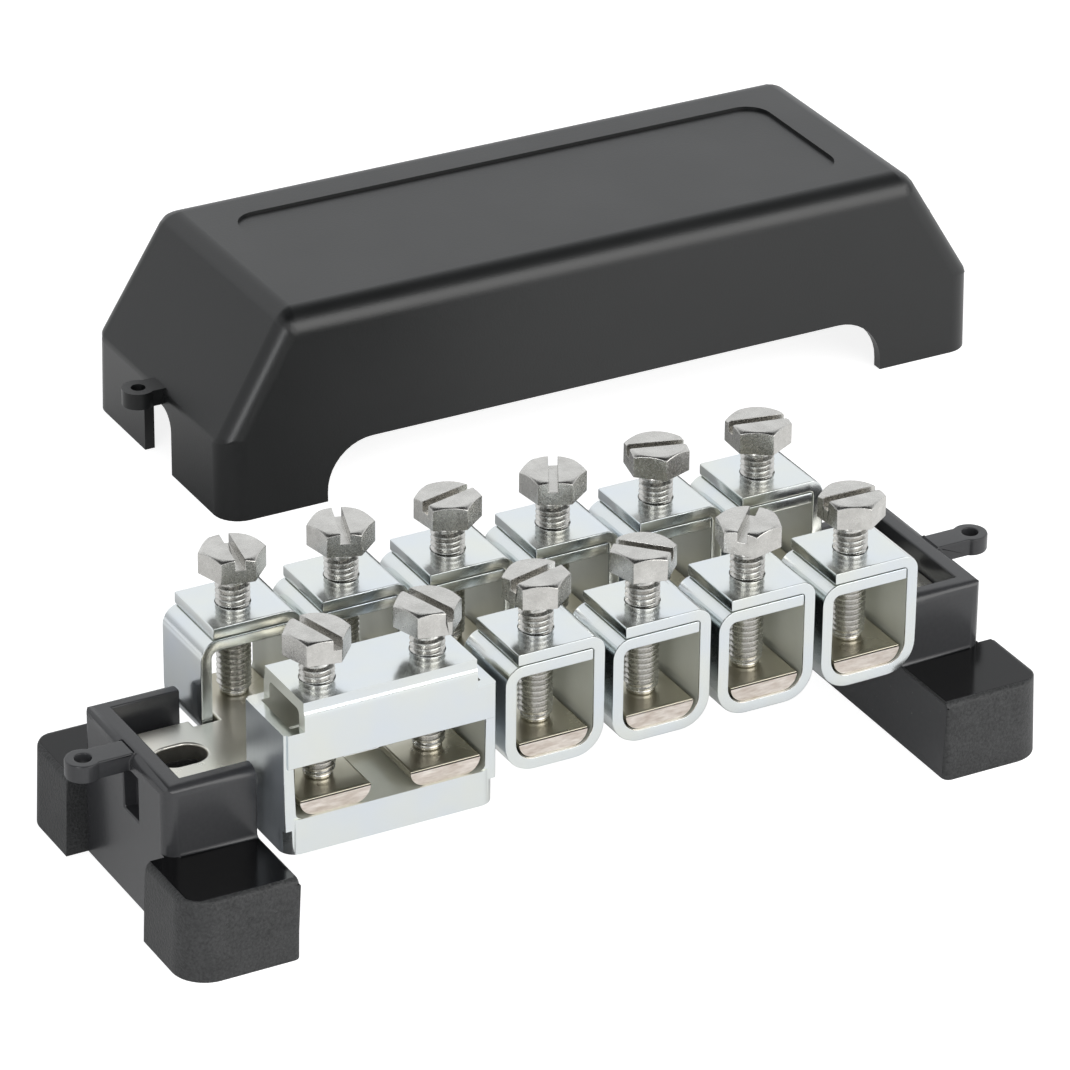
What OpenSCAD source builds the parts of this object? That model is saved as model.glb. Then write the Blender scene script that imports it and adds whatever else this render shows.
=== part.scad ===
// Earth terminal bar: six clamp places on each side of a tinned bar on two feet, with a hood.
// Millimetres, Z up. The origin is the middle of the base on the wall or floor it stands on.
// X runs along the bar, Y from the front row to the rear row.

/* [Layout] */
// Distance between neighbouring clamps in a row
clamp_pitch = 20; // [18:0.1:24]
// Distance between the middles of the two rows
row_spacing = 30.9; // [28:0.1:40]
// Height of the bar's underside above the floor
bar_z = 20.2; // [18:0.1:24]
// Space between neighbouring clamps in a row
clamp_space = 1.5; // [1:0.1:3]
// Space between the last clamp of a row and a foot
foot_gap = 1.65; // [0.5:0.05:4]

/* [Contact bar] */
// Thickness of the bar
bar_t = 3.1; // [2.5:0.1:4]
// Space between the bar's spine and the clamps on both sides
spine_gap = 0.4; // [0.3:0.1:2]
// Space between a tongue's sides and the strap round it
tongue_play = 0.75; // [0.4:0.05:2]
// Radius of a tongue's lower corners
tongue_r = 2.9; // [2.5:0.1:3]
// How far a tongue ends behind the clamp's face
tongue_back = 0.5; // [0.2:0.1:3]
// Width of the bar's two ends
bar_end_w = 19.4; // [16:0.1:24]
// Width of the fixing slots
fixing_slot_w = 6.5; // [5:0.1:7]
// Length of the fixing slots
fixing_slot_l = 9; // [7.5:0.1:10]

/* [Single clamps] */
// Depth of a clamp along the conductor
clamp_d = 14.8; // [12:0.1:16]
// Thickness of the strap
strap_t = 2.1; // [1.8:0.1:2.2]
// Height of a clamp over all
clamp_h = 22; // [20:0.1:24]
// Outer radius of the two lower bends
lower_bend_r = 5.5; // [4:0.1:6]
// Outer radius of the bend from the right wall into the outer flap
outer_bend_r = 2.8; // [2.3:0.1:4]
// Outer radius of the bend from the left wall into the inner flap
inner_bend_r = 3.4; // [2.3:0.1:4]
// Gap between the two flaps and between a flap's end and the wall
flap_gap = 0.1; // [0.05:0.05:0.5]
// How far the outer flap stops short of the left wall's outer face
flap_short = 2.3; // [1:0.1:5]

/* [Double clamp] */
// Height of the double clamp's top above the single clamps
double_rise = 1.1; // [0:0.1:3]
// Sheet thickness of the double clamp
sheet_t = 2; // [1.6:0.1:2.4]
// Inner radius of the double clamp's folds
fold_r = 1; // [0.4:0.1:1.5]
// Height of the folded bands at the front and the back
band_h = 11.5; // [8:0.1:12]
// How far the bands end short of the double clamp's walls
band_in = 0.6; // [0.2:0.1:1]
// How far the walls stand in from the double clamp's front and back
wall_in = 0.4; // [0.2:0.1:1]
// Height of the skirt round the bottom tray
skirt_h = 6.5; // [4:0.1:8]
// Length of the corner reliefs along the bar
relief_l = 3.6; // [2.6:0.1:5]
// Depth of the corner reliefs from the face
relief_d = 4.6; // [2.6:0.1:5]
// Height of the corner reliefs
relief_h = 5.1; // [3:0.1:8]

/* [Screws] */
// Diameter over the thread
screw_d = 5.9; // [5:0.1:6]
// Radial clearance of the thread in the clamp
thread_clearance = 0.1; // [0.02:0.01:0.1]
// How far the screws stand to the right of the clamps' middles
screw_off = 0.25; // [0:0.05:0.6]
// Width across the flats of the head
head_af = 10; // [9:0.1:11]
// Height of the head
head_h = 4.3; // [3:0.1:5]
// Width of the bevelled ring round the head's crown
crown_bevel = 0.25; // [0.1:0.05:0.5]
// Length of the shank under the head
shank_l = 22.6; // [21:0.1:24]
// Diameter of the plain point
point_d = 4.5; // [3.5:0.1:4.8]
// Length of the plain point
point_l = 1.8; // [1:0.1:3]
// Bevel at the tip of the point
point_bevel = 0.3; // [0.1:0.1:0.8]
// Width of the driver slot
driver_slot_w = 1.6; // [1.2:0.1:2]
// Depth of the driver slot
driver_slot_d = 1.9; // [1:0.1:2.4]
// Turn of each front screw's slot
front_slots = [104, 106, 15, 134, 48, 179];
// Turn of each front screw's hexagon
front_corners = [48, 47, 39, 45, 14, 34];
// Turn of each rear screw's slot
rear_slots = [80, 72, 14, 62, 164, 169];
// Turn of each rear screw's hexagon
rear_corners = [46, 40, 37, 36, 18, 27];

/* [Feet] */
// Length of a foot along the bar
foot_l = 20.3; // [18.5:0.1:24]
// Width of one pad
pad_w = 15.6; // [10:0.1:20]
// Height of the pads
pad_h = 14.7; // [10:0.1:16]
// Radius of a pad's upright outer corner at the floor
pad_r = 6; // [2:0.1:7]
// How far a pad's outer faces lean in towards its top
pad_lean = 0.5; // [0:0.1:1]
// Radius of a pad's upper edges
pad_edge_r = 1.2; // [0.5:0.1:2]
// How far the middle of a foot stands back from the pads' ends
end_back = 4; // [1:0.1:5]
// Height of the raised block above the floor
block_h = 27.4; // [25:0.1:29]
// Radius of the block's upper edges
block_edge_r = 1.8; // [0.5:0.1:2]
// Thickness of the block's walls beside the bar
block_wall = 3.2; // [2:0.1:4]
// Thickness of the block's wall behind the bar's end
end_wall = 4; // [3:0.1:5]
// Space between the bar's end and the wall behind it
bar_play = 0.1; // [0.05:0.05:0.5]
// Space between the bar's end and the walls beside it
recess_play = 3.1; // [0.5:0.1:4]
// Width of the snap pocket in the end face
pocket_w = 5.5; // [3:0.1:8]
// Depth of the snap pocket
pocket_d = 2.4; // [1:0.1:2.8]
// Height of the snap pocket
pocket_h = 8; // [4:0.1:9]
// How far the snap pocket's middle stands to the front of the ear's
pocket_off = 2.6; // [0:0.1:4]
// How far the sealing ears' holes stand out beyond the pads' ends
ear_out = 3.1; // [2:0.1:6]
// Outer radius of a sealing ear
ear_r = 3.1; // [2.6:0.1:4]
// Width of the web that carries a sealing ear
ear_web = 5; // [3:0.1:5]
// Diameter of the hole in a sealing ear
ear_hole_d = 2.8; // [2:0.1:3.4]
// Thickness of a foot's sealing ear
ear_t = 3.2; // [2:0.1:4]

/* [Cover] */
// Where the cover stands, along the bar
cover_x = 73.8; // [-100:0.1:100]
// Where the cover stands, behind the base
cover_y = 136.9; // [90:0.1:250]
// Wall thickness of the cover
cover_t = 2; // [1.5:0.1:2.4]
// Space between the closed cover's ends and the feet's blocks
cover_play = 1.3; // [0.3:0.1:2]
// How far the closed cover's long sides stand in from the pads' sides
cover_ledge = 2.95; // [1:0.05:4]
// Space between the closed cover's top and the screws turned right down
head_clearance = 1.2; // [0.3:0.1:4]
// How far the cover's long sides lean in from the rim to the top
cover_lean = 1.4; // [0.2:0.1:3]
// Length of the slope at each end, along the bar
slope_l = 14; // [10:0.1:18]
// Height of the ends' upright part above their notch
end_rise = 2.4; // [2:0.1:6]
// Radius of the cover's upright corners
cover_corner_r = 3; // [2.5:0.1:5]
// Radius of the long edges along the top
cover_edge_r = 4.9; // [3:0.1:6]
// Radius of the edges down both sides of the slopes
slope_edge_r = 2; // [1:0.1:4]
// Radius of the edges between the slopes and the top
cover_hip_r = 4.5; // [3:0.1:8]
// Radius of the edges at the foot of the slopes
cover_crease_r = 2.4; // [1.5:0.1:6]
// How far the arches in the long sides end short of the feet
arch_in = 1.4; // [0.5:0.1:10]
// Height of the arches
arch_h = 11.3; // [9.8:0.1:14]
// Radius of the arches' upper corners
arch_r = 9.5; // [4:0.1:9.6]
// Width of the notch in each end
notch_w = 11.6; // [8:0.1:16]
// Radius of the notch's upper corners
notch_r = 4; // [1:0.1:4]
// Space between the notch's upper edge and the foot's ear when closed
notch_clearance = 0.2; // [0.1:0.1:1]
// Step from the notch's upper edge to the cover's ear
ear_step = 0.4; // [0.2:0.1:1]
// Thickness of the cover's sealing ears
cover_ear_t = 3.2; // [2:0.1:4]
// Distance from the sunk field on top to the slopes
field_end = 9.2; // [6:0.1:30]
// Distance from the sunk field to the rounding of the long edges
field_side = 5.8; // [2:0.1:12]
// Depth of the sunk field
field_d = 0.6; // [0.2:0.1:1]
// Corner radius of the sunk field
field_r = 5; // [1:0.1:10]

/* [Hidden] */
$fn = 48;
row_y = row_spacing / 2;
clamp_w = clamp_pitch - clamp_space;
clamp_z = bar_z - strap_t;
clamp_top = clamp_z + clamp_h;
inner_flap_top = clamp_h - strap_t - flap_gap;
tongue_w = clamp_w - 2 * strap_t - 2 * tongue_play;
spine_w = row_spacing - clamp_d - 2 * spine_gap;
bar_top = bar_z + bar_t;
double_w = clamp_pitch + clamp_w;
double_x = -2 * clamp_pitch;
double_top = clamp_top + double_rise;
tray_z = bar_z - skirt_h;
foot_in = 2.5 * clamp_pitch + clamp_w / 2 + foot_gap;
foot_out = foot_in + foot_l;
foot_mid = foot_out - end_back;
recess_end = foot_mid - end_wall;
bar_end = recess_end - bar_play;
fixing_x = (foot_in + bar_end) / 2;
recess_w = bar_end_w + 2 * recess_play;
block_w = recess_w + 2 * block_wall;
ear_x = foot_out + ear_out;
ear_z = block_h - ear_t;
cover_l = 2 * (foot_mid + cover_play + cover_t);
cover_w = block_w + 2 * pad_w - 2 * cover_ledge;
cover_h = bar_top + shank_l + head_h + head_clearance + cover_t - pad_h;
notch_h = block_h - pad_h + notch_clearance;
cover_ear_z = notch_h + ear_step;
cover_end_h = notch_h + end_rise;
slope_turn = atan((cover_h - cover_end_h) / slope_l);
lean_rate = cover_lean / cover_h;
arch_w = 2 * (foot_in - arch_in);
field_l = cover_l - 2 * slope_l - 2 * field_end;
field_w = cover_w - 2 * (cover_lean + cover_edge_r + field_side);
skin = 0.03;
far = 400;

function along(place) = (place - 3.5) * clamp_pitch;
function unit(v) = v / norm(v);
function toward(p, i, step) = unit(p[(i + step + len(p)) % len(p)] - p[i]);
function half_angle(p, i) = acos(toward(p, i, -1) * toward(p, i, 1)) / 2;
function cut_back(p, r, i) = r[i] / tan(half_angle(p, i));
function inner_radius(r, m) = max(r - m, r / 5);
function arc_centre(p, r, i) = p[i] + unit(toward(p, i, -1) + toward(p, i, 1)) * r[i] / sin(half_angle(p, i));

// A convex outline p with its own radius r at each corner.
module rounded(p, r) {
    polygon([for (i = [0:len(p) - 1]) for (step = [-1, 1]) p[i] + toward(p, i, step) * cut_back(p, r, i)]);
    for (i = [0:len(p) - 1])
        if (r[i] > 0)
            translate(arc_centre(p, r, i))
                circle(r = r[i]);
}

// A rectangle from a to b with the radii r, counted round from the corner a.
module panel(a, b, r) {
    rounded([a, [b[0], a[1]], b, [a[0], b[1]]], r);
}

// An outline in X and Z drawn out along Y from y0 to y1.
module drawn_y(y0, y1) {
    translate([0, y1, 0])
        rotate([90, 0, 0])
            linear_extrude(y1 - y0)
                children();
}

// An outline in Y and Z drawn out along X from x0 to x1.
module drawn_x(x0, x1) {
    translate([x0, 0, 0])
        rotate([90, 0, 90])
            linear_extrude(x1 - x0)
                children();
}

// A slot along X with round ends.
module slot_outline(l, w) {
    panel([-l / 2, -w / 2], [l / 2, w / 2], [w / 2.001, w / 2.001, w / 2.001, w / 2.001]);
}

module tongue(place, side) {
    length = row_y + clamp_d / 2 - tongue_back;
    translate([along(place), 0, bar_z])
        drawn_y(side > 0 ? 0 : -length, side > 0 ? length : 0)
            intersection() {
                panel([-tongue_w / 2, 0], [tongue_w / 2, 2 * bar_t], [tongue_r, tongue_r, 0, 0]);
                translate([-tongue_w / 2, 0])
                    square([tongue_w, bar_t]);
            }
}

module contact_bar() {
    color("silver")
        difference() {
            union() {
                translate([-bar_end, -spine_w / 2, bar_z])
                    cube([2 * bar_end, spine_w, bar_t]);
                for (side = [-1, 1])
                    translate([side > 0 ? foot_in : -bar_end, -bar_end_w / 2, bar_z])
                        cube([bar_end - foot_in, bar_end_w, bar_t]);
                for (place = [1:6])
                    for (side = [-1, 1])
                        tongue(place, side);
            }
            for (side = [-1, 1])
                translate([side * fixing_x, 0, bar_z - 1])
                    linear_extrude(bar_t + 2)
                        slot_outline(fixing_slot_l, fixing_slot_w);
        }
}

// The strap's cross-section: the outer flap comes from the right wall, the inner one from the left.
module strap_outline() {
    half = clamp_w / 2;
    inside = half - strap_t;
    lower = lower_bend_r - strap_t;
    difference() {
        panel([-half, 0], [half, clamp_h], [lower_bend_r, lower_bend_r, outer_bend_r, 0]);
        panel([-inside, strap_t], [inside, clamp_h - strap_t], [lower, lower, outer_bend_r - strap_t, 0]);
        translate([-half, clamp_h / 2])
            square([flap_short, clamp_h]);
    }
    difference() {
        panel([-half, 0], [half, inner_flap_top], [lower_bend_r, lower_bend_r, 0, inner_bend_r]);
        panel([-inside, strap_t], [inside, inner_flap_top - strap_t], [lower, lower, 0, inner_bend_r - strap_t]);
        translate([inside - flap_gap, clamp_h / 2])
            square([half, clamp_h]);
    }
}

module single_clamp(place, side) {
    color("gainsboro")
        translate([along(place), side * row_y, clamp_z])
            difference() {
                drawn_y(-clamp_d / 2, clamp_d / 2)
                    strap_outline();
                translate([screw_off, 0, clamp_h / 2])
                    cylinder(d = screw_d + 2 * thread_clearance, h = clamp_h);
            }
}

// A folded sheet: top with two bands, two walls, and a bottom tray with a skirt turned down.
module double_clamp() {
    half = double_w / 2;
    inside = half - sheet_t;
    deep = clamp_d / 2;
    r = sheet_t + fold_r;
    f = fold_r;
    color("gainsboro")
        translate([double_x, -row_y, 0])
            difference() {
                union() {
                    drawn_y(wall_in - deep, deep - wall_in)
                        difference() {
                            panel([-half, bar_z - sheet_t], [half, double_top], [0, 0, r, r]);
                            panel([-inside, bar_z], [inside, double_top - sheet_t], [f, f, f, f]);
                        }
                    drawn_x(band_in - half, half - band_in)
                        difference() {
                            panel([-deep, double_top - band_h], [deep, double_top], [0, 0, r, r]);
                            panel([sheet_t - deep, 0], [deep - sheet_t, double_top - sheet_t], [0, 0, f, f]);
                        }
                    difference() {
                        translate([0, 0, tray_z])
                            linear_extrude(skirt_h)
                                panel([-half, -deep], [half, deep], [r, r, r, r]);
                        translate([0, 0, tray_z - 1])
                            linear_extrude(skirt_h - sheet_t + 1)
                                panel([-inside, sheet_t - deep], [inside, deep - sheet_t], [f, f, f, f]);
                    }
                }
                for (i = [-1, 1])
                    for (j = [-1, 1])
                        translate([i * (half + 1 - relief_l / 2), j * (deep + 1 - relief_d / 2), double_top])
                            cube([relief_l + 2, relief_d + 2, 2 * relief_h], center = true);
                for (i = [-1, 1])
                    translate([i * clamp_pitch / 2 + screw_off, 0, double_top - band_h])
                        cylinder(d = screw_d + 2 * thread_clearance, h = 2 * band_h);
            }
}

// A slotted hexagon screw with a plain point, its axis on Z, its tip at the origin and its slot along X.
module screw_body(corner_turn) {
    corner = head_af / cos(30);
    crown = head_af - 2 * crown_bevel;
    shoulder = (screw_d - point_d) / 2;
    difference() {
        union() {
            rotate_extrude()
                polygon([[0, 0], [point_d / 2 - point_bevel, 0], [point_d / 2, point_bevel], [point_d / 2, point_l],
                         [screw_d / 2, point_l + shoulder], [screw_d / 2, shank_l + 1], [0, shank_l + 1]]);
            translate([0, 0, shank_l])
                intersection() {
                    rotate([0, 0, corner_turn])
                        cylinder(d = corner, h = head_h, $fn = 6);
                    cylinder(d1 = crown + 2 * head_h / tan(30), d2 = crown, h = head_h);
                }
        }
        translate([0, 0, shank_l + head_h])
            cube([2 * corner, driver_slot_w, 2 * driver_slot_d], center = true);
    }
}

module screw(place, side, slot_turn, corner_turn) {
    color("darkgray")
        translate([along(place) + screw_off, side * row_y, bar_top])
            rotate([0, 0, slot_turn])
                screw_body(corner_turn - slot_turn);
}

// An ear with an upright hole on a web from x = 0, as thick as given.
module ear(reach, thickness) {
    difference() {
        union() {
            translate([0, -ear_web / 2, 0])
                cube([reach, ear_web, thickness]);
            translate([reach, 0, 0])
                cylinder(r = ear_r, h = thickness);
        }
        translate([reach, 0, -1])
            cylinder(d = ear_hole_d, h = thickness + 2);
    }
}

// One pad, its inner long side on y = 0, with leaning faces and a tapered outer corner.
module pad() {
    e = pad_edge_r;
    k = pad_lean;
    intersection() {
        drawn_x(0, far)
            rounded([[-1, 0], [pad_w, 0], [pad_w - k, pad_h], [-1, pad_h]], [0, 0, e, 0]);
        drawn_y(-far, far)
            rounded([[foot_in, 0], [foot_out, 0], [foot_out - k, pad_h], [foot_in, pad_h]], [0, 0, e, 0]);
        union() {
            translate([0, -1, 0])
                cube([foot_out - pad_r, far, pad_h]);
            translate([0, -1, 0])
                cube([far, pad_w - pad_r + 1, pad_h]);
            translate([foot_out - pad_r, pad_w - pad_r, 0])
                cylinder(r1 = pad_r, r2 = pad_r - k, h = pad_h);
        }
    }
}

// The foot at the right end of the bar.
module foot() {
    half = block_w / 2;
    e = block_edge_r;
    color([0.13, 0.13, 0.14])
        difference() {
            union() {
                for (turned = [0, 1])
                    mirror([0, turned, 0])
                        translate([0, half, 0])
                            pad();
                intersection() {
                    drawn_x(foot_in, foot_mid)
                        panel([-half, 0], [half, block_h], [0, 0, e, e]);
                    drawn_y(-far, far)
                        panel([foot_in, 0], [foot_mid, block_h], [0, 0, e, 0]);
                }
                translate([foot_mid - 1, 0, ear_z])
                    ear(ear_x - foot_mid + 1, ear_t);
            }
            translate([foot_in - 1, -recess_w / 2, bar_z])
                cube([recess_end - foot_in + 1, recess_w, block_h]);
            translate([foot_mid - pocket_d, -pocket_off - pocket_w / 2, ear_z - pocket_h])
                cube([pocket_d + 1, pocket_w, pocket_h]);
            translate([fixing_x, 0, -1])
                linear_extrude(bar_z + 2)
                    slot_outline(fixing_slot_l, fixing_slot_w);
        }
}

module left_foot() {
    mirror([1, 0, 0])
        foot();
}

module right_foot() {
    foot();
}

// Keeps what lies inside a long side and a slope of the hood, and rounds the edge the two share.
module slope_edge(t, w, h, r) {
    skew = atan(lean_rate * sin(slope_turn));
    spread = lean_rate * cos(slope_turn) * cos(skew);
    translate([t, w, h])
        rotate([0, slope_turn, 0])
            rotate([0, 0, skew])
                drawn_x(-far, far)
                    rounded([[skin, skin], [-far, skin], [-far, -far], [skin + spread * far, -far]], [r, 0, 0, 0]);
}

// Keeps what lies inside a long side and an end of the hood, and rounds the edge the two share.
module upright_edge(l, w, r) {
    translate([l, w, 0])
        rotate([atan(lean_rate), 0, 0])
            translate([0, 0, -far])
                linear_extrude(2 * far)
                    panel([-far, -far], [skin, skin], [0, 0, r, 0]);
}

// The hood's solid form, smaller by the margin m on every side but the open bottom.
module hood_form(m) {
    l = cover_l / 2 - m;
    h = cover_h - m;
    rim = cover_w / 2 - m;
    under = rim + lean_rate * m;
    top = rim - lean_rate * h;
    t = cover_l / 2 - slope_l - m * tan(slope_turn / 2);
    s = cover_end_h - m * tan(45 - slope_turn / 2);
    e = inner_radius(cover_edge_r, m);
    d = inner_radius(slope_edge_r, m);
    p = inner_radius(cover_hip_r, m);
    q = inner_radius(cover_crease_r, m);
    intersection() {
        drawn_x(-far, far)
            rounded([[-under, -m], [under, -m], [top, h], [-top, h]], [0, 0, e, e]);
        drawn_y(-far, far)
            rounded([[-l, -m], [l, -m], [l, s], [t, h], [-t, h], [-l, s]], [0, 0, q, p, p, q]);
        slope_edge(t, top, h, d);
        mirror([1, 0, 0])
            slope_edge(t, top, h, d);
        mirror([0, 1, 0])
            slope_edge(t, top, h, d);
        rotate([0, 0, 180])
            slope_edge(t, top, h, d);
        upright_edge(l, rim, inner_radius(cover_corner_r, m));
        mirror([1, 0, 0])
            upright_edge(l, rim, inner_radius(cover_corner_r, m));
        mirror([0, 1, 0])
            upright_edge(l, rim, inner_radius(cover_corner_r, m));
        rotate([0, 0, 180])
            upright_edge(l, rim, inner_radius(cover_corner_r, m));
    }
}

module cover() {
    a = arch_r;
    n = notch_w / 2;
    color([0.15, 0.15, 0.16])
        translate([cover_x, cover_y, 0])
            difference() {
                union() {
                    difference() {
                        hood_form(0);
                        hood_form(cover_t);
                        translate([0, 0, cover_h - field_d])
                            linear_extrude(cover_h)
                                panel([-field_l / 2, -field_w / 2], [field_l / 2, field_w / 2],
                                      [field_r, field_r, field_r, field_r]);
                    }
                    for (turned = [0, 1])
                        mirror([turned, 0, 0])
                            translate([(cover_l - cover_t) / 2, 0, cover_ear_z])
                                ear(ear_x - (cover_l - cover_t) / 2, cover_ear_t);
                }
                drawn_y(-far, far)
                    panel([-arch_w / 2, -1], [arch_w / 2, arch_h], [0, 0, a, a]);
                drawn_x(-far, far)
                    panel([-n, -1], [n, notch_h], [0, 0, notch_r, notch_r]);
            }
}

module clamp_rear_1() { single_clamp(1, 1); }
module clamp_rear_2() { single_clamp(2, 1); }
module clamp_rear_3() { single_clamp(3, 1); }
module clamp_rear_4() { single_clamp(4, 1); }
module clamp_rear_5() { single_clamp(5, 1); }
module clamp_rear_6() { single_clamp(6, 1); }
module clamp_front_3() { single_clamp(3, -1); }
module clamp_front_4() { single_clamp(4, -1); }
module clamp_front_5() { single_clamp(5, -1); }
module clamp_front_6() { single_clamp(6, -1); }
module screw_rear_1() { screw(1, 1, rear_slots[0], rear_corners[0]); }
module screw_rear_2() { screw(2, 1, rear_slots[1], rear_corners[1]); }
module screw_rear_3() { screw(3, 1, rear_slots[2], rear_corners[2]); }
module screw_rear_4() { screw(4, 1, rear_slots[3], rear_corners[3]); }
module screw_rear_5() { screw(5, 1, rear_slots[4], rear_corners[4]); }
module screw_rear_6() { screw(6, 1, rear_slots[5], rear_corners[5]); }
module screw_front_1() { screw(1, -1, front_slots[0], front_corners[0]); }
module screw_front_2() { screw(2, -1, front_slots[1], front_corners[1]); }
module screw_front_3() { screw(3, -1, front_slots[2], front_corners[2]); }
module screw_front_4() { screw(4, -1, front_slots[3], front_corners[3]); }
module screw_front_5() { screw(5, -1, front_slots[4], front_corners[4]); }
module screw_front_6() { screw(6, -1, front_slots[5], front_corners[5]); }

contact_bar();
left_foot();
right_foot();
cover();
clamp_rear_1();
clamp_rear_2();
clamp_rear_3();
clamp_rear_4();
clamp_rear_5();
clamp_rear_6();
double_clamp();
clamp_front_3();
clamp_front_4();
clamp_front_5();
clamp_front_6();
screw_rear_1();
screw_rear_2();
screw_rear_3();
screw_rear_4();
screw_rear_5();
screw_rear_6();
screw_front_1();
screw_front_2();
screw_front_3();
screw_front_4();
screw_front_5();
screw_front_6();
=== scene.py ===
import bmesh
import bpy
import math
from mathutils import Matrix, Vector


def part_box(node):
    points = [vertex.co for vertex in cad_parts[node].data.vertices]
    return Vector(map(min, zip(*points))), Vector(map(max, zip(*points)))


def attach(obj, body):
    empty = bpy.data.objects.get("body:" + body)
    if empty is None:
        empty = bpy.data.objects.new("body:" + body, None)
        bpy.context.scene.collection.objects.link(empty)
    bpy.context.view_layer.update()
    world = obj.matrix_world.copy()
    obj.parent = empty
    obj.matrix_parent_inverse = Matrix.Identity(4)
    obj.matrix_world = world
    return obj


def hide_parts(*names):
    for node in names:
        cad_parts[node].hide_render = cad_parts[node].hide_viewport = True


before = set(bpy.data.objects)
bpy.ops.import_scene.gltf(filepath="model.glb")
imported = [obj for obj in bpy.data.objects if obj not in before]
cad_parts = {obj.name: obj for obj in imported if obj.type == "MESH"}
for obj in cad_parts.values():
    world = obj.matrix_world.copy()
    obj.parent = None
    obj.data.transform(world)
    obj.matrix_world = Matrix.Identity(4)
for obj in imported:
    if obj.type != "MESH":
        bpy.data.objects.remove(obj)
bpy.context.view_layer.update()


# Feet: two mirrored mouldings of black filled plastic that carry the bar's ends and lift it off the wall.
# The pads come grained from the mould, with polished tops where the cover's rim seats, and the raised blocks
# are satin. A wall screw goes through the slot under each end of the bar.
mm = 0.001
solid_gap, fine_gap = 0.002, 0.0005
pad_top, block_top = 14.7, 27.4
corner_round, pad_corner_round, block_fillet, broken_edge = 2.4, 1.3, 0.7, 0.35


class Wire:
    """A socket in a finish's node tree. Arithmetic on it adds Math nodes."""

    def __init__(self, tree, socket=None):
        self.tree = tree
        self.socket = socket

    def node(self, kind, settings=(), inputs=(), out=0):
        made = self.tree.nodes.new(kind)
        for name, value in dict(settings).items():
            if name == "stops":
                while len(made.color_ramp.elements) < len(value):
                    made.color_ramp.elements.new(1.0)
                for stop, (at, level) in zip(made.color_ramp.elements, value):
                    stop.position = at
                    stop.color = (level, level, level, 1)
            else:
                setattr(made, name, value)
        for name, value in dict(inputs).items():
            if isinstance(value, Wire):
                self.tree.links.new(value.socket, made.inputs[name])
            else:
                made.inputs[name].default_value = value
        return Wire(self.tree, made.outputs[out])

    def into(self, node, name):
        self.tree.links.new(self.socket, node.inputs[name])

    def math(self, operation, a, b):
        return self.node("ShaderNodeMath", {"operation": operation}, {0: a, 1: b})

    def __add__(self, other):
        return self.math("ADD", self, other)

    def __radd__(self, other):
        return self.math("ADD", other, self)

    def __sub__(self, other):
        return self.math("SUBTRACT", self, other)

    def __rsub__(self, other):
        return self.math("SUBTRACT", other, self)

    def __mul__(self, other):
        return self.math("MULTIPLY", self, other)

    def __rmul__(self, other):
        return self.math("MULTIPLY", other, self)

    def __abs__(self):
        return self.math("ABSOLUTE", self, 0.0)


def start_finish(name, **constants):
    """A new finish, with its shader and the place on the piece. Constants go straight on the shader."""
    finish = bpy.data.materials.new(name)
    finish.use_nodes = True
    shader = finish.node_tree.nodes["Principled BSDF"]
    for socket, value in constants.items():
        shader.inputs[socket.replace("_", " ")].default_value = value
    place = Wire(finish.node_tree).node("ShaderNodeTexCoord", out="Object")
    return finish, shader, place


def grain(place, size, detail=2.0, stretch=(1.0, 1.0, 1.0)):
    """Noise over the piece, with spots of a given size in metres."""
    spread = place.node("ShaderNodeMapping", inputs={"Vector": place, "Scale": stretch})
    inputs = {"Vector": spread, "Scale": 1.0 / size, "Detail": detail, "Roughness": 0.6}
    return place.node("ShaderNodeTexNoise", inputs=inputs, out="Fac")


def blend_colours(mask, first, second):
    return mask.node("ShaderNodeMix", {"data_type": "RGBA"}, {0: mask, 6: first, 7: second}, out=2)


def colour(shader, mask, first, second):
    blend_colours(mask, (*first, 1), (*second, 1)).into(shader, "Base Color")


def raise_surface(height, strength, depth, shader):
    inputs = {"Height": height, "Strength": strength, "Distance": depth}
    height.node("ShaderNodeBump", inputs=inputs, out="Normal").into(shader, "Normal")


def whole_faces(bm):
    """Makes each flat face one face again."""
    bmesh.ops.dissolve_limit(bm, angle_limit=math.radians(1.0), verts=bm.verts, edges=bm.edges)


def merged_copy(node):
    """The node's solid as one joined form, in millimetres, with its flat faces whole."""
    bm = bmesh.new()
    bm.from_mesh(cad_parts[node].data)
    enlarged = Matrix.Scale(1 / mm, 4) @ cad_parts[node].matrix_world
    bmesh.ops.transform(bm, matrix=enlarged, verts=bm.verts)
    bmesh.ops.remove_doubles(bm, verts=bm.verts, dist=solid_gap)
    whole_faces(bm)
    bmesh.ops.recalc_face_normals(bm, faces=bm.faces)
    return bm


def clean_form(bm):
    """Merges corners that fall together and turns the faces outward."""
    bmesh.ops.remove_doubles(bm, verts=bm.verts, dist=fine_gap)
    bmesh.ops.recalc_face_normals(bm, faces=bm.faces)


def new_verts(geom):
    return [v for v in geom if isinstance(v, bmesh.types.BMVert)]


def round_off(bm, edges, width, steps):
    bmesh.ops.bevel(bm, geom=edges, offset=width, offset_type="OFFSET", segments=steps, profile=0.5,
                    affect="EDGES", material=-1)


def ease_edges(bm, width, steps=2, least=50.0, pick=None):
    """Rounds the edges that turn by more than a given angle."""
    sharp = [e for e in bm.edges if e.is_manifold and e.calc_face_angle(0.0) > math.radians(least)]
    round_off(bm, [e for e in sharp if pick is None or pick(e)], width, steps)


def link_form(bm, name):
    mesh = bpy.data.meshes.new(name)
    bm.to_mesh(mesh)
    bm.free()
    thing = bpy.data.objects.new(name, mesh)
    bpy.context.scene.collection.objects.link(thing)
    return thing


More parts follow.
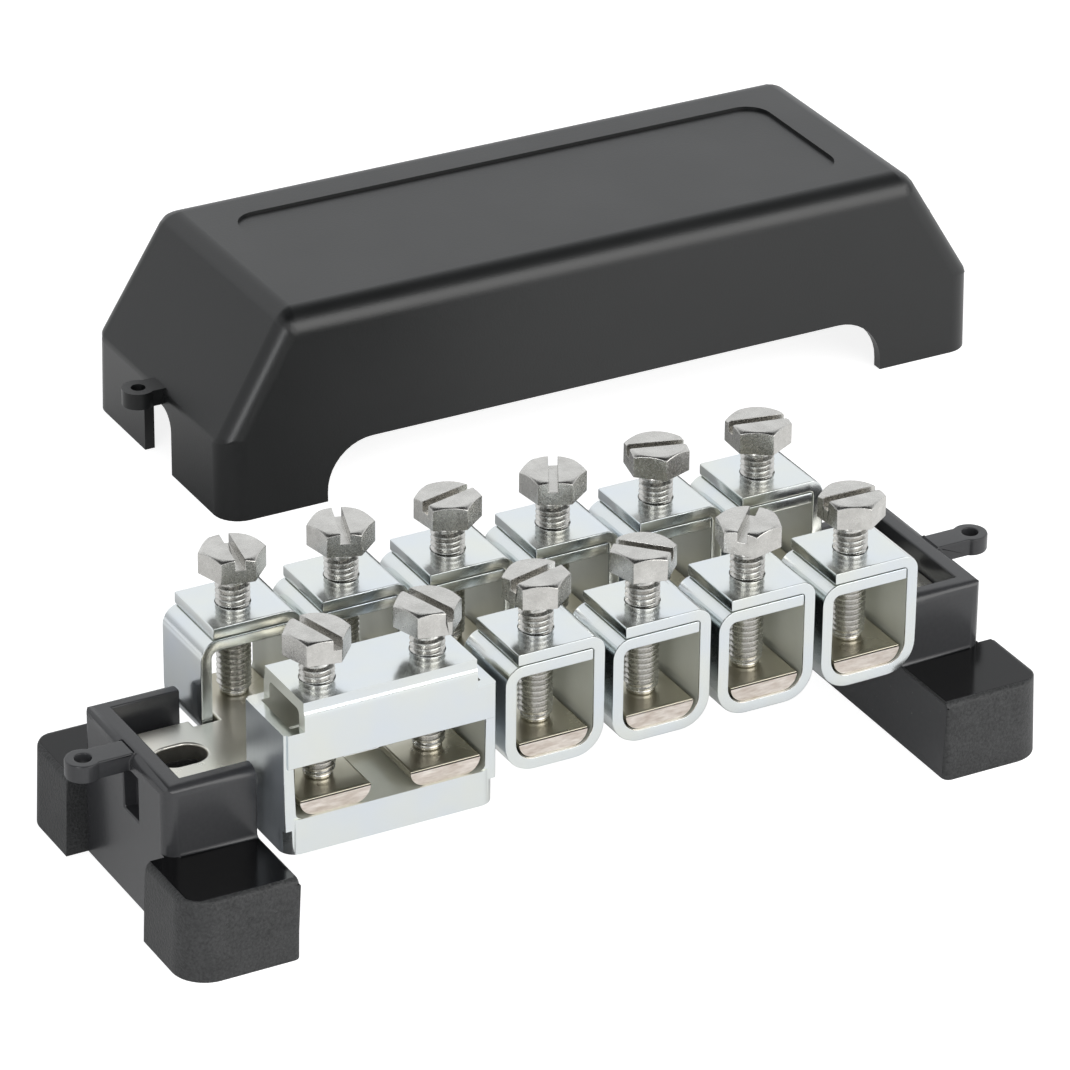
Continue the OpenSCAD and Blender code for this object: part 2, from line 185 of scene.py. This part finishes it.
def worked_form(work, *tools):
    """What the modifiers make of a work piece. The work piece and its tools are cleared away."""
    done = bmesh.new()
    done.from_object(work, bpy.context.evaluated_depsgraph_get())
    for thing in (work, *tools):
        mesh = thing.data
        bpy.data.objects.remove(thing)
        bpy.data.meshes.remove(mesh)
    return done


def take_out(bm, *cutters, how="DIFFERENCE"):
    """Cuts closed forms out of another one, or joins them to it."""
    work = link_form(bm, "work")
    tools = [link_form(c, "cutter") for c in cutters]
    for tool in tools:
        cut = work.modifiers.new("cut", "BOOLEAN")
        cut.object = tool
        cut.operation = how
        cut.solver = "EXACT"
    return worked_form(work, *tools)


def set_piece(bm, name, node, body, finishes, turn=40.0):
    """Puts a finished form, drawn in millimetres, in the place of its solid."""
    bmesh.ops.scale(bm, vec=(mm, mm, mm), verts=bm.verts)
    for f in bm.faces:
        f.smooth = True
    for e in bm.edges:
        e.smooth = e.is_manifold and e.calc_face_angle(0.0) < math.radians(turn)
    piece = link_form(bm, name)
    for finish in finishes:
        piece.data.materials.append(finish)
    flat = piece.modifiers.new("flat_faces", "WEIGHTED_NORMAL")
    flat.keep_sharp = True
    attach(piece, body)
    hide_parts(node)


grained_plastic, shader, place = start_finish("grained_plastic", Specular_IOR_Level=0.42)
sparks = grain(place, 0.0005, 3.0)
patches = grain(place, 0.005)
colour(shader, 0.5 * patches + 1.8 * sparks - 0.65, (0.010, 0.0105, 0.011), (0.058, 0.059, 0.060))
(0.38 + 0.2 * sparks).into(shader, "Roughness")
raise_surface(sparks, 0.7, 0.0003, shader)

polished_plastic, shader, place = start_finish("polished_plastic", Specular_IOR_Level=0.2)
rub = grain(place, 0.0015, 3.0)
colour(shader, rub, (0.004, 0.004, 0.0045), (0.007, 0.007, 0.0075))
(0.10 + 0.08 * rub).into(shader, "Roughness")
raise_surface(rub, 0.03, 0.0001, shader)

satin_plastic, shader, place = start_finish("satin_plastic", Specular_IOR_Level=0.5)
veil = grain(place, 0.0008, 3.0)
colour(shader, veil, (0.034, 0.0345, 0.037), (0.044, 0.0445, 0.0475))
(0.20 + 0.10 * veil).into(shader, "Roughness")
raise_surface(veil, 0.12, 0.0001, shader)


def corner_cutter(x, y):
    """What is taken off an upright outer corner of a block, above the pads, to round it."""
    bm = bmesh.new()
    turns = [math.radians(9 * k) for k in range(11)]
    arc = [(corner_round * (math.cos(t) - 1), corner_round * (math.sin(t) - 1)) for t in turns]
    outline = [(1, 1), (1, -corner_round)] + arc + [(-corner_round, 1)]
    points = [(x + math.copysign(a, a * x), y + math.copysign(b, b * y), pad_top) for a, b in outline]
    base = bm.faces.new([bm.verts.new(point) for point in points])
    raised = new_verts(bmesh.ops.extrude_face_region(bm, geom=[base])["geom"])
    bmesh.ops.translate(bm, vec=(0, 0, block_top + 2 - pad_top), verts=raised)
    bmesh.ops.recalc_face_normals(bm, faces=bm.faces)
    return bm


def foot_form(node):
    """A foot with rounded block and pad corners, a fillet at the blocks' foot and broken edges."""
    form = merged_copy(node)
    block = [v.co for v in form.verts if v.co.z > pad_top + 2]
    block_side = max(abs(co.y) for co in block)
    block_end = max((co.x for co in block if abs(co.y) > 6), key=abs)
    form = take_out(form, corner_cutter(block_end, -block_side), corner_cutter(block_end, block_side))
    clean_form(form)
    whole_faces(form)
    inner_side = min(abs(v.co.x) for v in form.verts)
    outer_row = max(abs(v.co.y) for v in form.verts)

    def pad_corner(e):
        one, two = (v.co for v in e.verts)
        at_side = all(abs(abs(co.x) - inner_side) < 0.01 and abs(co.y) > outer_row - 1 for co in (one, two))
        return at_side and abs(one.z - two.z) > 5

    def in_block_corner(v):
        off = math.hypot(abs(v.co.x) - abs(block_end), abs(v.co.y) - block_side)
        return off < 2 * corner_round and v.co.z > pad_top - 0.1

    def straight(e):
        return not all(in_block_corner(v) for v in e.verts)

    def block_foot(e):
        return not e.is_convex and all(abs(v.co.z - pad_top) < 0.05 for v in e.verts) and straight(e)

    def open_edge(e):
        return min(v.co.z for v in e.verts) > 0.01 and straight(e)

    ease_edges(form, pad_corner_round, steps=5, least=60.0, pick=pad_corner)
    ease_edges(form, block_fillet, steps=4, least=60.0, pick=block_foot)
    ease_edges(form, broken_edge, least=40.0, pick=open_edge)
    return form


for node in ("left_foot", "right_foot"):
    form = foot_form(node)
    for f in form.faces:
        height = f.calc_center_median().z - pad_top
        on_pad = f.normal.z > 0.99 and abs(height) < 0.05
        f.material_index = 1 if on_pad else 2 if height > 0.03 else 0
    finishes = (grained_plastic, polished_plastic, satin_plastic)
    set_piece(form, node + "_moulding", node, "base", finishes)


# Contact bar: one comb of thick copper, punched to a spine with six tongues on each side and then tinned.
# The tongues were cropped after tinning, so their ends show bare copper. Towards the clamps they carry
# painted shade, darker where they run in under the clamps and screws. It lies loose in the feet's recesses
# and the wall screws hold it there.
def smooth_change(value, start, end, first, last):
    """A smooth change from one level to another as a value goes from start to end."""
    inputs = {0: value, 1: start, 2: end, 3: first, 4: last}
    return value.node("ShaderNodeMapRange", {"interpolation_type": "SMOOTHSTEP"}, inputs, out="Result")


tinned_copper, shader, place = start_finish("tinned_copper", Metallic=0.95)
smear = grain(place, 0.0012, 4.0)
cloud = grain(place, 0.009, 3.0)
across_bar = abs(place.node("ShaderNodeSeparateXYZ", inputs={0: place}, out="Y"))
# Painted shade: from 9 to 15 mm off the bar's middle line and beyond, the tongues darken to brown, as if
# shaded by the clamps and screws.
painted_clamp_shade = smooth_change(across_bar, 9 * mm, 15 * mm, 0.0, 0.8)
unshaded_tin = blend_colours(cloud, (0.76, 0.735, 0.66, 1), (0.86, 0.84, 0.77, 1))
blend_colours(painted_clamp_shade, unshaded_tin, (0.40, 0.37, 0.28, 1)).into(shader, "Base Color")
(0.22 + 0.14 * cloud).into(shader, "Roughness")
raise_surface(smear, 0.08, 0.00006, shader)

cropped_copper, shader, place = start_finish("cropped_copper", Metallic=1.0)
drag = grain(place, 0.0012, 4.0, (0.4, 1.0, 1.6))
colour(shader, 2.0 * drag - 0.5, (0.48, 0.40, 0.34), (0.84, 0.79, 0.74))
(0.36 + 0.2 * drag).into(shader, "Roughness")
raise_surface(drag, 0.3, 0.00012, shader)

punched_edge = 0.45
form = merged_copy("contact_bar")
upper = max(v.co.z for v in form.verts) - 0.01
ease_edges(form, punched_edge, steps=3, least=60.0, pick=lambda e: min(v.co.z for v in e.verts) > upper)
tongue_end = max(v.co.y for v in form.verts) - 0.02
for f in form.faces:
    f.material_index = int(abs(f.normal.y) > 0.95 and abs(f.calc_center_median().y) > tongue_end)
set_piece(form, "tinned_bar", "contact_bar", "base", (tinned_copper, cropped_copper))


# Single clamps: ten straps of thick steel sheet, folded round a tongue until both ends lie flap on flap over
# the conductor, then bored and tapped through both flaps and bright zinc plated. Each hangs loose on its
# tongue until its screw pulls it up.
strap, depth, half, top = 2.1, 14.8, 9.25, 22.0
low_bend, outer_bend, inner_bend = 5.5, 2.8, 3.4
flap_gap, flap_step, sheared_edge = 0.1, 2.3, 0.28
inner_top = top - strap - flap_gap
screw_off, thread_hole = 0.25, 6.1


def draw_on(bm, end, move):
    """Carries a section's end face straight on and gives the new end face."""
    made = bmesh.ops.extrude_face_region(bm, geom=[end])["geom"]
    bmesh.ops.translate(bm, vec=move, verts=new_verts(made))
    if end.is_valid and any(len(e.link_faces) > 2 for e in end.edges):
        bmesh.ops.delete(bm, geom=[end], context="FACES_ONLY")
    return next(f for f in made if isinstance(f, bmesh.types.BMFace))


def bend_on(bm, end, x, z, steps):
    """Carries a section's end face round a quarter bend about a line and gives the new end face."""
    geom = [end] + list(end.edges) + list(end.verts)
    made = bmesh.ops.spin(bm, geom=geom, cent=(x, 0, z), axis=(0, 1, 0), dvec=(0, 0, 0), angle=math.pi / 2,
                          steps=steps, use_duplicate=False)["geom_last"]
    return next(f for f in made if isinstance(f, bmesh.types.BMFace))


def rod(x, y, z0, z1, width, sides=40):
    """An upright round rod between two heights."""
    bm = bmesh.new()
    stand = Matrix.Translation((x, y, (z0 + z1) / 2))
    bmesh.ops.create_cone(bm, cap_ends=True, segments=sides, radius1=width / 2, radius2=width / 2,
                          depth=z1 - z0, matrix=stand)
    return bm


def folded_strap():
    """One strap about its middle: outer flap, right side, bottom, left side and inner flap."""
    bm = bmesh.new()
    left = flap_step - half
    front, low = depth / 2, top - strap
    corners = ((left, -front, low), (left, front, low), (left, front, top), (left, -front, top))
    end = bm.faces.new([bm.verts.new(corner) for corner in corners])
    end = draw_on(bm, end, (half - outer_bend - left, 0, 0))
    end = bend_on(bm, end, half - outer_bend, top - outer_bend, 8)
    end = draw_on(bm, end, (0, 0, low_bend + outer_bend - top))
    end = bend_on(bm, end, half - low_bend, low_bend, 10)
    end = draw_on(bm, end, (2 * low_bend - 2 * half, 0, 0))
    end = bend_on(bm, end, low_bend - half, low_bend, 10)
    end = draw_on(bm, end, (0, 0, inner_top - inner_bend - low_bend))
    end = bend_on(bm, end, inner_bend - half, inner_top - inner_bend, 8)
    draw_on(bm, end, (2 * half - inner_bend - strap - flap_gap, 0, 0))
    clean_form(bm)
    ease_edges(bm, sheared_edge)
    bm = take_out(bm, rod(screw_off, 0, top / 2, top + 5, thread_hole))
    for f in bm.faces:
        out = f.calc_center_median() - Vector((0, 0, top / 2))
        f.material_index = int(abs(f.normal.y) < 0.3 and f.normal.dot(out) < 0)
    return bm


bright_zinc, shader, place = start_finish("bright_zinc", Metallic=1.0)
tint = grain(place, 0.012, 2.0)
haze = grain(place, 0.0012, 4.0)
sheet_wave = grain(place, 0.005, 1.0)
colour(shader, 1.6 * tint - 0.3, (0.71, 0.76, 0.82), (0.77, 0.79, 0.74))
(0.10 + 0.12 * haze).into(shader, "Roughness")
raise_surface(sheet_wave + 0.08 * haze, 0.1, 0.0004, shader)

dull_zinc, shader, place = start_finish("dull_zinc", Metallic=0.5)
stain = grain(place, 0.006, 3.0)
colour(shader, stain, (0.60, 0.61, 0.53), (0.70, 0.71, 0.64))
(0.38 + 0.1 * stain).into(shader, "Roughness")
raise_surface(stain, 0.05, 0.0002, shader)

for node in ["clamp_rear_%d" % k for k in range(1, 7)] + ["clamp_front_%d" % k for k in range(3, 7)]:
    low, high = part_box(node)
    form = folded_strap()
    under_tongue = ((low.x + high.x) / 2 / mm, (low.y + high.y) / 2 / mm, low.z / mm)
    bmesh.ops.translate(form, vec=under_tongue, verts=form.verts)
    set_piece(form, node + "_strap", node, "base", (bright_zinc, dull_zinc))


# Double clamp: a wide clamp over two tongues for flat strip, folded from zinc plated sheet. A channel with a
# band turned down front and back forms its top, two walls carry it, and a tray with a skirt turned down all
# round hangs under the tongues. Its front corners are relieved far back, so the channel's ends show.
relief_long, relief_back, relief_tall, relief_round, relief_margin = 3.6, 10.4, 5.1, 1.4, 0.3
sheet, band_sheet, tray_tall, sheet_edge = 1.5, 1.0, 6.4, 0.3


def block_form(size, at, turn=0.0):
    """A block at a place, turned with it about the upright axis by an angle in degrees."""
    bm = bmesh.new()
    stand = Matrix.Translation(at) @ Matrix.Diagonal(Vector(size).to_4d())
    bmesh.ops.create_cube(bm, size=1.0, matrix=Matrix.Rotation(math.radians(turn), 4, "Z") @ stand)
    return bm


form = merged_copy("double_clamp")
low, high = (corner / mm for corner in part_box("double_clamp"))
middle = (low + high) / 2
half_size = middle - low
for end, way in ((low.x, 1), (high.x, -1)):
    relief = block_form((2 * relief_long, 2 * relief_back, 2 * relief_tall), (end, low.y, high.z))
    inner = [e for e in relief.edges
             if all((v.co.x - end) * way > 1 and v.co.z < high.z for v in e.verts)]
    round_off(relief, inner, relief_round, 6)
    form = take_out(form, relief)
bmesh.ops.remove_doubles(form, verts=form.verts, dist=solid_gap)
whole_faces(form)


def at_relief(v):
    beside = abs(v.co.x - middle.x) > half_size.x - relief_long - relief_margin
    return beside and v.co.z > high.z - relief_tall - relief_margin


def free_edge(e):
    """A long edge between broad faces, away from the reliefs."""
    broad = e.calc_length() > 3 and min(f.calc_area() for f in e.link_faces) > 3
    return broad and not all(at_relief(v) for v in e.verts)


def inside_clamp(at):
    off = at - middle
    between = low.z + tray_tall < at.z < high.z - sheet
    return between and abs(off.x) < half_size.x - sheet and abs(off.y) < half_size.y - band_sheet


ease_edges(form, sheet_edge, steps=3, least=60.0, pick=free_edge)

brushed_zinc, shader, place = start_finish("brushed_zinc", Metallic=0.9)
brush = grain(place, 0.0008, 3.0, (1.0, 1.0, 0.2))
colour(shader, brush, (0.56, 0.61, 0.66), (0.66, 0.70, 0.74))
(0.3 + 0.14 * brush).into(shader, "Roughness")
raise_surface(brush, 0.06, 0.0001, shader)

for f in form.faces:
    on_wall = abs(f.normal.x) > 0.9
    f.material_index = 1 if inside_clamp(f.calc_center_median()) else 2 if on_wall else 0
finishes = (bright_zinc, dull_zinc, brushed_zinc)
set_piece(form, "strip_clamp", "double_clamp", "base", finishes)


# Screws: twelve M6 set screws of plain plated steel with a bevelled tip, a slotted hexagon head and a
# thread rolled up to the neck. Each is screwed down through its clamp's two flaps onto the tongue. They were
# left as they came to stand, so each head is turned its own way.
shank, neck, head, flats = 22.6, 0.9, 4.3, 10.0
crown_step, crown_slope, head_edge = 0.25, 30, 0.1
tip_wide, tip_long, tip_bevel = 4.9, 0.6, 0.2
pitch, thread_root, thread_top, thread_foot = 1.0, 2.38, 2.95, 2.2
flank, crest = 0.38, 0.12
slot_wide, slot_deep, slot_long = 1.6, 1.9, 16
clamp_pitch = 20
slot_turns = {"front": (104, 106, 15, 134, 48, 179), "rear": (80, 72, 14, 62, 164, 169)}
corner_turns = {"front": (48, 47, 39, 45, 14, 34), "rear": (46, 40, 37, 36, 18, 27)}


def head_form(slot_turn, corner_turn):
    """A hexagon head with its corners turned down to a round crown and a driver slot across it."""
    bm = bmesh.new()
    crown = flats / 2 - crown_step
    disc = bmesh.ops.create_circle(bm, cap_ends=True, radius=crown, segments=72)["verts"]
    bmesh.ops.translate(bm, vec=(0, 0, shank + head), verts=disc)
    for v in new_verts(bmesh.ops.extrude_edge_only(bm, edges=list(bm.edges))["geom"]):
        turn = math.degrees(math.atan2(v.co.y, v.co.x)) % 60 - 30
        reach = flats / 2 / math.cos(math.radians(turn))
        v.co *= Vector((reach / crown, reach / crown, 1))
        v.co.z -= (reach - crown) * math.tan(math.radians(crown_slope))
    rim = [e for e in bm.edges if e.is_boundary]
    for v in new_verts(bmesh.ops.extrude_edge_only(bm, edges=rim)["geom"]):
        v.co.z = shank
    bmesh.ops.holes_fill(bm, edges=[e for e in bm.edges if e.is_boundary], sides=0)
    clean_form(bm)
    hexagon_turn = Matrix.Rotation(math.radians(corner_turn), 3, "Z")
    bmesh.ops.rotate(bm, cent=(0, 0, 0), matrix=hexagon_turn, verts=bm.verts)
    blade = block_form((slot_long, slot_wide, 2 * slot_deep), (0, 0, shank + head), slot_turn)
    bm = take_out(bm, blade)
    ease_edges(bm, head_edge, least=40.0)
    return bm


def add_core(bm):
    """The shank without its thread, turned about the axis, from the tip up into the head."""
    tip, inside_head = tip_wide / 2, shank + 0.5
    outline = ((0, 0), (tip - tip_bevel, 0), (tip, tip_bevel), (tip, tip_long),
               (thread_root, tip_long + 0.1), (thread_root, inside_head), (0, inside_head))
    chain = [bm.verts.new((r, 0, z)) for r, z in outline]
    edges = [bm.edges.new(pair) for pair in zip(chain, chain[1:])]
    bmesh.ops.spin(bm, geom=chain + edges, cent=(0, 0, 0), axis=(0, 0, 1), dvec=(0, 0, 0),
                   angle=2 * math.pi, steps=28, use_merge=True)


def add_thread(bm):
    """The thread as one closed ridge that winds up the core and runs out into it at both ends."""
    tooth_end = 2 * flank + crest
    tooth = ((thread_foot, 0.0), (thread_root, 0.0), (thread_top, flank), (thread_top, flank + crest),
             (thread_root, tooth_end), (thread_foot, tooth_end))
    steps = 24
    count = steps * int((shank - neck) / pitch)
    rings = []
    for k in range(count + 1):
        turn = 2 * math.pi * k / steps
        grown = max(0.02, min(1.0, k / steps, (count - k) / steps))
        section = []
        for radius, rise in tooth:
            out = thread_foot + (radius - thread_foot) * grown
            z = (rise + k / steps) * pitch
            section.append(bm.verts.new((out * math.cos(turn), out * math.sin(turn), z)))
        rings.append(section)
    for one, two in zip(rings, rings[1:]):
        for a in range(len(tooth)):
            bm.faces.new((one[a - 1], one[a], two[a], two[a - 1]))
    bm.faces.new(rings[0])
    bm.faces.new(rings[-1])


screw_steel, shader, place = start_finish("screw_steel", Metallic=1.0)
pits = grain(place, 0.0005, 4.0)
cast = grain(place, 0.003, 2.0)
colour(shader, 0.9 * cast + 0.7 * pits - 0.3, (0.44, 0.43, 0.41), (0.74, 0.73, 0.70))
(0.18 + 0.16 * pits).into(shader, "Roughness")
raise_surface(0.5 * pits + cast, 0.16, 0.0002, shader)

for row in ("front", "rear"):
    for k in range(6):
        node = "screw_%s_%d" % (row, k + 1)
        holder = "double_clamp" if row == "front" and k < 2 else "clamp_%s_%d" % (row, k + 1)
        form = head_form(slot_turns[row][k], corner_turns[row][k])
        add_core(form)
        add_thread(form)
        clean_form(form)
        clamp_low, clamp_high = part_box(holder)
        axis_x = (k - 2.5) * clamp_pitch + screw_off
        axis_y = (clamp_low.y + clamp_high.y) / 2 / mm
        tip_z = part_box(node)[0].z / mm
        bmesh.ops.translate(form, vec=(axis_x, axis_y, tip_z), verts=form.verts)
        set_piece(form, node + "_threaded", node, node, (screw_steel,), turn=32.0)


# Cover: a hood moulded in one piece of black plastic, satin outside, with sloping ends, arches for the
# conductors in the long sides, a notch and a sealing ear at each end and a sunk field on top. It was lifted
# off and stands behind the bar.
cover_plastic, shader, place = start_finish("cover_plastic", Specular_IOR_Level=0.6)
satin = grain(place, 0.0004, 3.0)
flow = grain(place, 0.02, 2.0)
colour(shader, flow, (0.004, 0.0046, 0.0048), (0.008, 0.0087, 0.009))
(0.32 + 0.08 * flow).into(shader, "Roughness")
raise_surface(satin, 0.2, 0.0001, shader)

low, high = (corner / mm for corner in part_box("cover"))
middle = (low + high) / 2
hood_long, hood_wide, hood_tall, hood_wall = 161.0, high.y - low.y, high.z - low.z, 2.0
slope_run, end_tall, side_lean = 14.0, 15.3, 1.4
slope_out = Vector((hood_tall - end_tall, 0, slope_run)).normalized()
widest_bevel = 5.0
rounds = {("flat", "side"): 4.9, ("side", "slope"): 4.0, ("flat", "slope"): 4.5, ("end", "slope"): 2.4,
          ("end", "side"): 5.0}


def face_kind(f):
    if abs(f.normal.z) > 0.99:
        return "flat"
    if abs(f.normal.y) > 0.9:
        return "side"
    return "end" if abs(f.normal.x) > 0.99 else "slope"


def edge_round(e):
    """The radius of one of the hood's edges, by the two faces that meet there. Its rim stays sharp."""
    at_rim = max(v.co.z for v in e.verts) < 1
    return 0.0 if at_rim else rounds.get(tuple(sorted(face_kind(f) for f in e.link_faces)), 0.0)


def hood_form(margin):
    """The hood's full form with its rounds, smaller by a margin on every side but the open bottom.
    The rounds shrink by the margin too, down to a fifth."""
    size = (hood_long - 2 * margin, hood_wide - 2 * margin, hood_tall)
    bm = block_form(size, (0, 0, hood_tall / 2 - margin))
    for v in bm.verts:
        v.co.y -= math.copysign(side_lean * v.co.z / hood_tall, v.co.y)
    for way in (-1, 1):
        out = Vector((way * slope_out.x, 0, slope_out.z))
        at = Vector((way * hood_long / 2, 0, end_tall)) - margin * out
        everything = list(bm.verts) + list(bm.edges) + list(bm.faces)
        cut = bmesh.ops.bisect_plane(bm, geom=everything, plane_co=at, plane_no=out, clear_outer=True)
        rim = [e for e in cut["geom_cut"] if isinstance(e, bmesh.types.BMEdge)]
        bmesh.ops.edgeloop_fill(bm, edges=rim)
    clean_form(bm)
    weight = bm.edges.layers.float.new("bevel_weight_edge")
    for e in bm.edges:
        full = edge_round(e)
        if full:
            radius = max(full - margin, full / 5)
            e[weight] = radius * math.tan(e.calc_face_angle() / 2) / widest_bevel
    work = link_form(bm, "work")
    ease = work.modifiers.new("rounds", "BEVEL")
    ease.limit_method = "WEIGHT"
    ease.width = widest_bevel
    ease.segments = 8
    ease.use_clamp_overlap = False
    return worked_form(work)


def rounded_block(size, at, axis, radius, least=-1000.0):
    """A block whose edges along one axis are rounded, those above a given height."""
    bm = block_form(size, at)
    along = [e for e in bm.edges
             if abs(e.verts[0].co[axis] - e.verts[1].co[axis]) > 0.9 * size[axis]
             and min(v.co.z for v in e.verts) > least]
    round_off(bm, along, radius, 10)
    return bm


ear_reach, ear_low, ear_thick, ear_round, ear_web, ear_hole = 84.3, 13.3, 3.2, 3.1, 5.0, 2.8
arch_long, arch_tall, arch_round = 119.0, 11.3, 9.5
notch_wide, notch_tall, notch_round = 11.6, 12.9, 4.0
field_long, field_wide, field_deep, field_round = 114.6, 33.1, 0.6, 5.0
field_cutter, beyond = 10, 20

field_at = (0, 0, hood_tall + field_cutter / 2 - field_deep)
field = rounded_block((field_long, field_wide, field_cutter), field_at, axis=2, radius=field_round)
form = take_out(hood_form(0), hood_form(hood_wall), field)
for way in (-1, 1):
    root_x, ear_top = hood_long / 2 - hood_wall / 2, ear_low + ear_thick
    ear = block_form((ear_reach - root_x, ear_web, ear_thick),
                     (way * (root_x + ear_reach) / 2, 0, ear_low + ear_thick / 2))
    ear = take_out(ear, rod(way * ear_reach, 0, ear_low, ear_top, 2 * ear_round, 48), how="UNION")
    ear = take_out(ear, rod(way * ear_reach, 0, 0, 30, ear_hole, 32))
    form = take_out(form, ear, how="UNION")
arch = rounded_block((arch_long, 2 * hood_wide, arch_tall + beyond), (0, 0, (arch_tall - beyond) / 2),
                     axis=1, radius=arch_round, least=0.0)
notch = rounded_block((2 * hood_long, notch_wide, notch_tall + beyond), (0, 0, (notch_tall - beyond) / 2),
                      axis=0, radius=notch_round, least=0.0)
form = take_out(form, arch, notch)
bmesh.ops.remove_doubles(form, verts=form.verts, dist=solid_gap)
bmesh.ops.translate(form, vec=(middle.x, middle.y, low.z), verts=form.verts)
set_piece(form, "hood", "cover", "cover", (cover_plastic,))


# Studio: a white floor that fades into a white surround, dark straight overhead, with a broad soft box in
# front of the object and a weaker one at its left. What the pieces mirror of the floor is greyer than the
# floor itself, with painted shade in places close to the object, where the base and the cover would shade
# the floor.
white_floor, shader, place = start_finish("white_floor", Base_Color=(0.8, 0.8, 0.8, 1), Roughness=0.9)
tree = white_floor.node_tree
rays = tree.nodes.new("ShaderNodeLightPath")
camera_ray, glossy_ray, through_ray = (
    Wire(tree, rays.outputs[kind]) for kind in ("Is Camera Ray", "Is Glossy Ray", "Is Transmission Ray"))
seen = camera_ray + glossy_ray + through_ray
floor_reach, floor_bright, floor_shade = 6.0, 0.85, 0.32
# Painted shade: darker spots on the floor, seen only in reflections, where the base and the cover shade it.
painted_shade_spots = (((-0.025, 0.08, 0.0), 0.03, 0.105, 0.53), ((-0.115, 0.175, 0.0), 0.02, 0.09, 0.4),
              ((0.04, 0.005, 0.0), 0.02, 0.065, 0.48), ((-0.125, 0.02, 0.0), 0.02, 0.08, 0.2))
shade = floor_shade
for spot, near, far, darkness in painted_shade_spots:
    off = place.node("ShaderNodeVectorMath", {"operation": "DISTANCE"}, {0: place, 1: spot}, out="Value")
    shade = shade + smooth_change(off, near, far, darkness, 0.0)
bounce = floor_bright - shade * glossy_ray
glow = seen.node("ShaderNodeEmission", inputs={"Color": (1, 1, 1, 1), "Strength": bounce}, out="Emission")
dull = seen.node("ShaderNodeBsdfDiffuse", inputs={"Color": (0.6, 0.6, 0.6, 1)}, out="BSDF")
shown = seen.node("ShaderNodeAddShader", inputs={0: glow, 1: dull}, out="Shader")
lit = Wire(tree, shader.outputs["BSDF"])
mixed = seen.node("ShaderNodeMixShader", inputs={0: seen, 1: lit, 2: shown}, out="Shader")
mixed.into(tree.nodes["Material Output"], "Surface")
bm = bmesh.new()
bmesh.ops.create_grid(bm, x_segments=2, y_segments=2, size=floor_reach)
floor = link_form(bm, "floor")
floor.data.materials.append(white_floor)

surround = bpy.data.worlds.new("surround")
surround.use_nodes = True
tree = surround.node_tree
rays = tree.nodes.new("ShaderNodeLightPath")
way = Wire(tree).node("ShaderNodeTexCoord", out="Generated")
up = way.node("ShaderNodeSeparateXYZ", inputs={0: way}, out="Z")
right_back = {0: way, 1: (0.6, 0.8, 0.0)}
side = way.node("ShaderNodeVectorMath", {"operation": "DOT_PRODUCT"}, right_back, out="Value")
stops = ((0.0, 0.8), (0.25, 1.0), (0.64, 1.0), (0.84, 0.07), (1.0, 0.03))
height = up.node("ShaderNodeValToRGB", {"stops": stops}, {"Fac": up}, out="Color")
around = smooth_change(side, -0.3, 0.9, 0.3, 1.06)
ring = smooth_change(up, 0.18, 0.42, 0.0, 0.85)
bright = height * (around + ring * (1.04 - around))
cool_white = {0: (0.97, 0.985, 1.0), "Scale": bright}
level = way.node("ShaderNodeVectorMath", {"operation": "SCALE"}, cool_white, out="Vector")
camera_ray = Wire(tree, rays.outputs["Is Camera Ray"])
blend_colours(camera_ray, level, (1, 1, 1, 1)).into(tree.nodes["Background"], "Color")
bpy.context.scene.world = surround


def soft_box(name, place, aim, size, power, tone):
    lamp = bpy.data.lights.new(name, "AREA")
    lamp.shape = "RECTANGLE"
    lamp.size, lamp.size_y = size
    lamp.energy = power
    lamp.color = tone
    thing = bpy.data.objects.new(name, lamp)
    thing.location = place
    thing.rotation_euler = (Vector(aim) - Vector(place)).to_track_quat("-Z", "Y").to_euler()
    bpy.context.scene.collection.objects.link(thing)


soft_box("front_box", (0.62, -1.1, 0.62), (0.03, 0.06, 0.03), (1.5, 1.1), 12.5, (1.0, 0.99, 0.97))
soft_box("left_box", (-1.05, -0.75, 0.34), (0.0, 0.06, 0.04), (0.5, 0.3), 3.5, (0.98, 0.99, 1.0))

camera = bpy.data.objects.new("camera", bpy.data.cameras.new("camera"))
turn, tilt, roll = math.radians(-28.765), math.radians(27.918), math.radians(0.577)
aim, distance = Vector((-0.001586, 0, 0.047767)), 0.990496
picture_wide, focal_length, sensor = 1070, 5986.455, 36.0
back = Vector((math.sin(turn) * math.cos(tilt), -math.cos(turn) * math.cos(tilt), math.sin(tilt)))
across = (-back).cross(Vector((0, 0, 1))).normalized()
upright = across.cross(-back)
frame_right = across * math.cos(roll) + upright * math.sin(roll)
frame_up = upright * math.cos(roll) - across * math.sin(roll)
camera.matrix_world = Matrix((frame_right, frame_up, back)).transposed().to_4x4()
camera.location = aim + back * distance
camera.data.sensor_width = sensor
camera.data.lens = sensor * focal_length / picture_wide
camera.data.clip_start, camera.data.clip_end = 0.05, 20.0
bpy.context.scene.collection.objects.link(camera)
bpy.context.scene.camera = camera
bpy.context.scene.view_settings.view_transform = "Standard"
